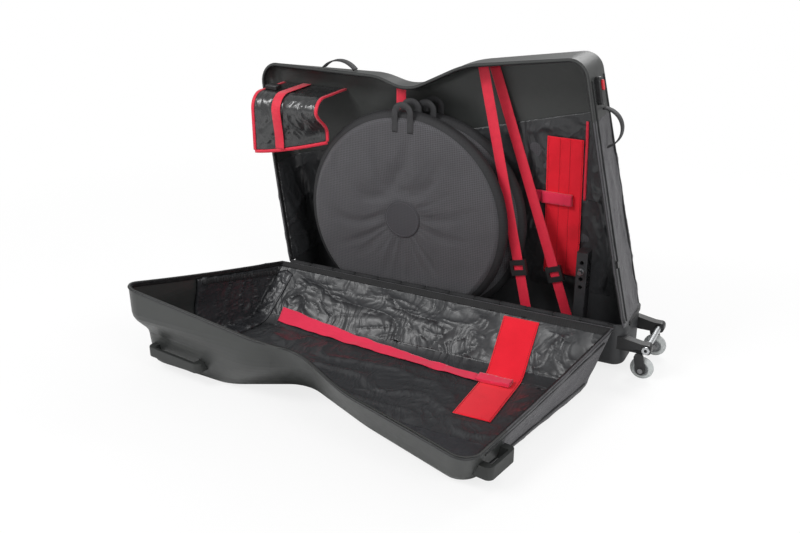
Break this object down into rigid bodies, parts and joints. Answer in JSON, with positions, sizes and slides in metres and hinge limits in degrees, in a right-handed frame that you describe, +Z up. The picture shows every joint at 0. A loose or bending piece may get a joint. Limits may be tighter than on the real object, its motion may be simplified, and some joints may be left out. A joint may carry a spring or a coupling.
{
  "type": "bike travel case",
  "caption": "Hard and soft shelled travel case for a bicycle, standing open: lid on the floor, upright back half with wheel bags, straps, axle stand and tail wheels.",
  "frame": {"origin": "on the floor, in the middle of the front runner's sole", "axes": "+X along the case towards its tail wheels, +Y towards the back wall, +Z up"},
  "size_m": [1.2977, 0.9071, 0.857],
  "materials": {
    "shell": "satin, fine grain",
    "case_fabric": "dark ripstop weave",
    "liner": "coated tarpaulin, glossy and wrinkled",
    "zip_tape": "woven tape with coil teeth",
    "tub": "satin moulded",
    "trim": "matt edge strip",
    "hinge_cord": "braided cord",
    "hinge_sleeve": "woven sleeve",
    "black_plastic": "satin moulded",
    "bar_tube": "satin anodised",
    "steel": "turned",
    "wheel_tyre": "cast, slightly translucent",
    "wheel_hub": "moulded",
    "rail": "anodised extrusion",
    "webbing": "ribbed webbing",
    "hook_band": "bright red hook and loop band",
    "cinch": "red webbing",
    "zip_slider": "black",
    "lock_button": "red",
    "wheel_bag": "padded ripstop",
    "bag_patch": "smooth patch",
    "wrap": "shiny coated tarpaulin",
    "wrap_binding": "red bound edge"
  },
  "bodies": {
    "base": {"back_top_shell": "shell", "back_left_gusset": "case_fabric", "back_right_gusset": "case_fabric", "back_panel": "case_fabric", "back_liner": "liner", "back_zip_tape": "zip_tape", "base_tub": "tub", "base_runners": "tub", "tub_edge_trim": "trim", "hinge_cord": "hinge_cord", "tub_hinge_sleeves": "hinge_sleeve", "bar_brackets": "black_plastic", "wheel_arms": "black_plastic", "tie_buckles": "black_plastic", "lock_housing": "black_plastic", "bar_wrap_buckle": "black_plastic", "tail_bar": "bar_tube", "bar_end_caps": "bar_tube", "wheel_axles": "steel", "stand_rail": "rail", "top_handle": "webbing", "tail_loop_handle": "webbing", "wheel_bag_front_handles": "webbing", "wheel_bag_rear_handles": "webbing", "back_hook_band": "hook_band", "back_cinch_strap": "cinch", "tie_strap_front": "cinch", "tie_strap_rear": "cinch", "top_tie_strap": "cinch", "bar_wrap_strap": "cinch", "wheel_bag_front": "wheel_bag", "wheel_bag_rear": "wheel_bag", "wheel_bag_front_patch": "bag_patch", "bar_wrap": "wrap", "bar_wrap_binding": "wrap_binding"},
    "lid": {"lid_front_shell": "shell", "lid_left_gusset": "case_fabric", "lid_right_gusset": "case_fabric", "lid_panel": "case_fabric", "lid_zip_tape": "zip_tape", "lid_liner": "liner", "lid_hinge_sleeves": "hinge_sleeve", "lid_hook_band": "hook_band", "lid_cinch_strap": "cinch", "lid_pocket": "liner", "lid_side_pocket": "liner", "lid_front_grip": "black_plastic", "lid_rear_grip": "black_plastic"},
    "pocket_slider": {"pocket_zip_slider": "zip_slider"},
    "main_slider": {"main_zip_slider": "zip_slider"},
    "near_wheel": {"near_wheel_tyre": "wheel_tyre", "near_wheel_hub": "wheel_hub", "near_wheel_bearings": "steel"},
    "far_wheel": {"far_wheel_tyre": "wheel_tyre", "far_wheel_hub": "wheel_hub", "far_wheel_bearings": "steel"},
    "stand": {"tower_foot": "black_plastic", "dropout_tower": "black_plastic", "axle_adapter": "rail"},
    "lock_key": {"lock_button": "lock_button"}
  },
  "joints": [
    {"name": "lid_hinge", "type": "hinge", "parent": "base", "child": "lid", "pos_m": [0, -0.03, 0.15], "axis": [-1, 0, 0], "range_deg": [0, 90]},
    {"name": "near_wheel_spin", "type": "hinge", "parent": "base", "child": "near_wheel", "pos_m": [0.68, -0.004, 0.032], "axis": [0, 1, 0], "continuous": true},
    {"name": "far_wheel_spin", "type": "hinge", "parent": "base", "child": "far_wheel", "pos_m": [0.68, 0.148, 0.032], "axis": [0, 1, 0], "continuous": true},
    {"name": "stand_slide", "type": "slide", "parent": "base", "child": "stand", "axis": [1, 0, 0], "range_m": [-0.06, 0.06]},
    {"name": "lock_press", "type": "slide", "parent": "base", "child": "lock_key", "axis": [-0.9792, 0, -0.203], "range_m": [0, 0.003], "stiffness_N_per_m": 400, "springref_m": -0.002},
    {"name": "main_zip_run", "type": "slide", "parent": "base", "child": "main_slider", "axis": [-0.2026, -0.063, 0.9772], "range_m": [-0.12, 0.3]},
    {"name": "pocket_zip_run", "type": "slide", "parent": "lid", "child": "pocket_slider", "axis": [-0.9524, 0.3049, 0], "range_m": [0, 0.22]}
  ]
}
